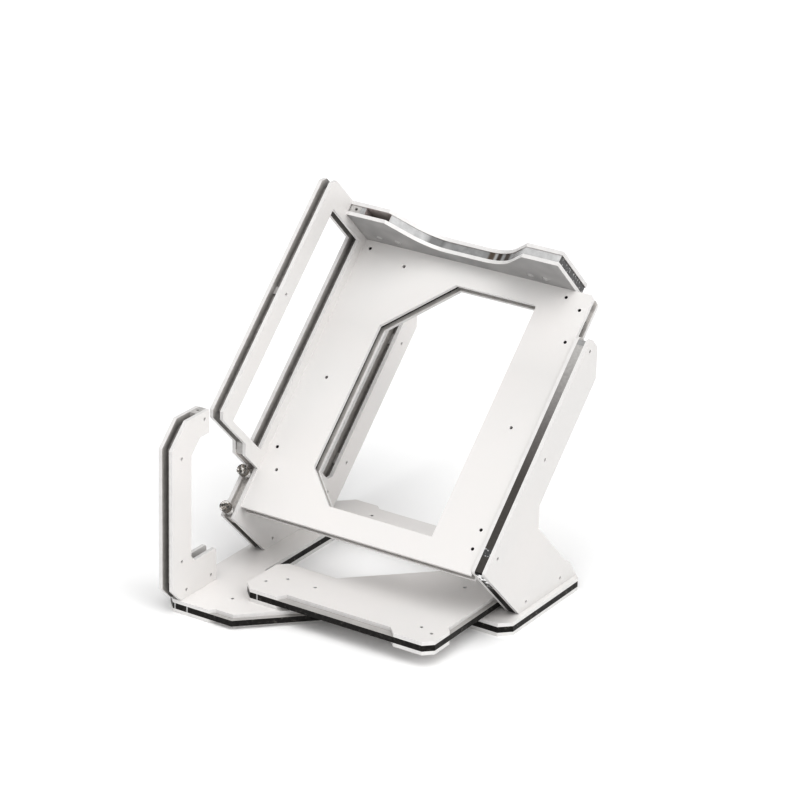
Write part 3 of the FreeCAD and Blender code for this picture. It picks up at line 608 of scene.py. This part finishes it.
def dress_cores():
    """Core sheets; the leg's and the shelf's have looks of their own."""
    cores = {
        # The base cores' light grey top faces are a painted reflection of the bright room.
        "base_core": {"sheet_normal": upright, "face": ledge_reflection_grey, "bars": base_bars},
        "front_cross_core": {"sheet_normal": upright, "face": ledge_reflection_grey, "bars": cross_bars},
        "card_bracket_core": {"sheet_normal": along_x, "cut": grey_cut},
        "left_side_core": {"sheet_normal": along_x, "cut": grey_cut, "lit_in_notch": True},
        "tray_core": {"sheet_normal": tray_out},
    }
    for name, look in cores.items():
        dress(core_acrylic(name, **look), name)
    dress(leg_core(), "right_side_core")
    dress(shelf_core(), "shelf_core")


def dress_small_parts():
    """Nut blocks, the thumb screws with their bar, and the other screws."""
    dress(pale_block(), "card_bracket_nut_blocks", "left_side_nut_blocks", "tray_nut_blocks",
          "shelf_nut_block")
    dress(leg_block(), "right_side_nut_blocks")
    dress(screw_metal(*bar_metal), "thumb_screw_bar")
    dress(thumb_metal(), "thumb_screw_upper", "thumb_screw_lower", soften=False)
    for *look, names in screws:
        dress(screw_metal(*look), *names, soften=False)


def make_floor():
    """Pale floor that runs past the picture on every side."""
    corners = [(-floor_half, -floor_half, 0), (floor_half, -floor_half, 0),
               (floor_half, floor_half, 0), (-floor_half, floor_half, 0)]
    mesh = bpy.data.meshes.new("floor")
    mesh.from_pydata(corners, [], [(0, 1, 2, 3)])
    floor = bpy.data.objects.new("floor", mesh)
    bpy.context.scene.collection.objects.link(floor)
    finish = Finish("floor_paint", **floor_shader)
    finish.colour(finish.patches(*floor_patches))
    mesh.materials.append(finish.material)


def make_camera():
    """Camera of the photograph: the anchor point falls on the anchor pixel at its depth."""
    back = Vector((math.sin(camera_azimuth) * math.cos(camera_elevation),
                   -math.cos(camera_azimuth) * math.cos(camera_elevation),
                   math.sin(camera_elevation)))
    forward = -back
    level = forward.cross(upright).normalized()
    above = level.cross(forward)
    right = math.cos(camera_roll) * level + math.sin(camera_roll) * above
    up = -math.sin(camera_roll) * level + math.cos(camera_roll) * above
    half = photo_size / 2
    across = (anchor_pixel[0] - half) / focal_pixels
    down = (anchor_pixel[1] - half) / focal_pixels
    eye = anchor_point - (forward + right * across - up * down) * anchor_depth
    data = bpy.data.cameras.new("camera")
    data.sensor_width = sensor_width
    data.lens = focal_pixels / photo_size * sensor_width
    data.clip_end = camera_reach
    camera = bpy.data.objects.new("camera", data)
    turn = Matrix((right, up, back)).transposed()
    camera.matrix_world = Matrix.Translation(eye) @ turn.to_4x4()
    bpy.context.scene.collection.objects.link(camera)
    bpy.context.scene.camera = camera


def make_light():
    """Large soft lights from above, the right and the front, in a pale room."""
    world = bpy.data.worlds.new("room")
    world.use_nodes = True
    background = world.node_tree.nodes["Background"]
    background.inputs["Color"].default_value = room_white
    background.inputs["Strength"].default_value = room_strength
    bpy.context.scene.world = world
    for name, energy, towards in lamps:
        light = bpy.data.lights.new(name, "SUN")
        light.energy = energy
        light.angle = lamp_angle
        lamp = bpy.data.objects.new(name, light)
        lamp.rotation_mode = "QUATERNION"
        lamp.rotation_quaternion = Vector(towards).to_track_quat("Z", "Y")
        bpy.context.scene.collection.objects.link(lamp)
    view = bpy.context.scene.view_settings
    view.view_transform = "Standard"
    view.gamma = view_gamma


dress_plates()
dress_cores()
dress_small_parts()
make_floor()
make_camera()
make_light()
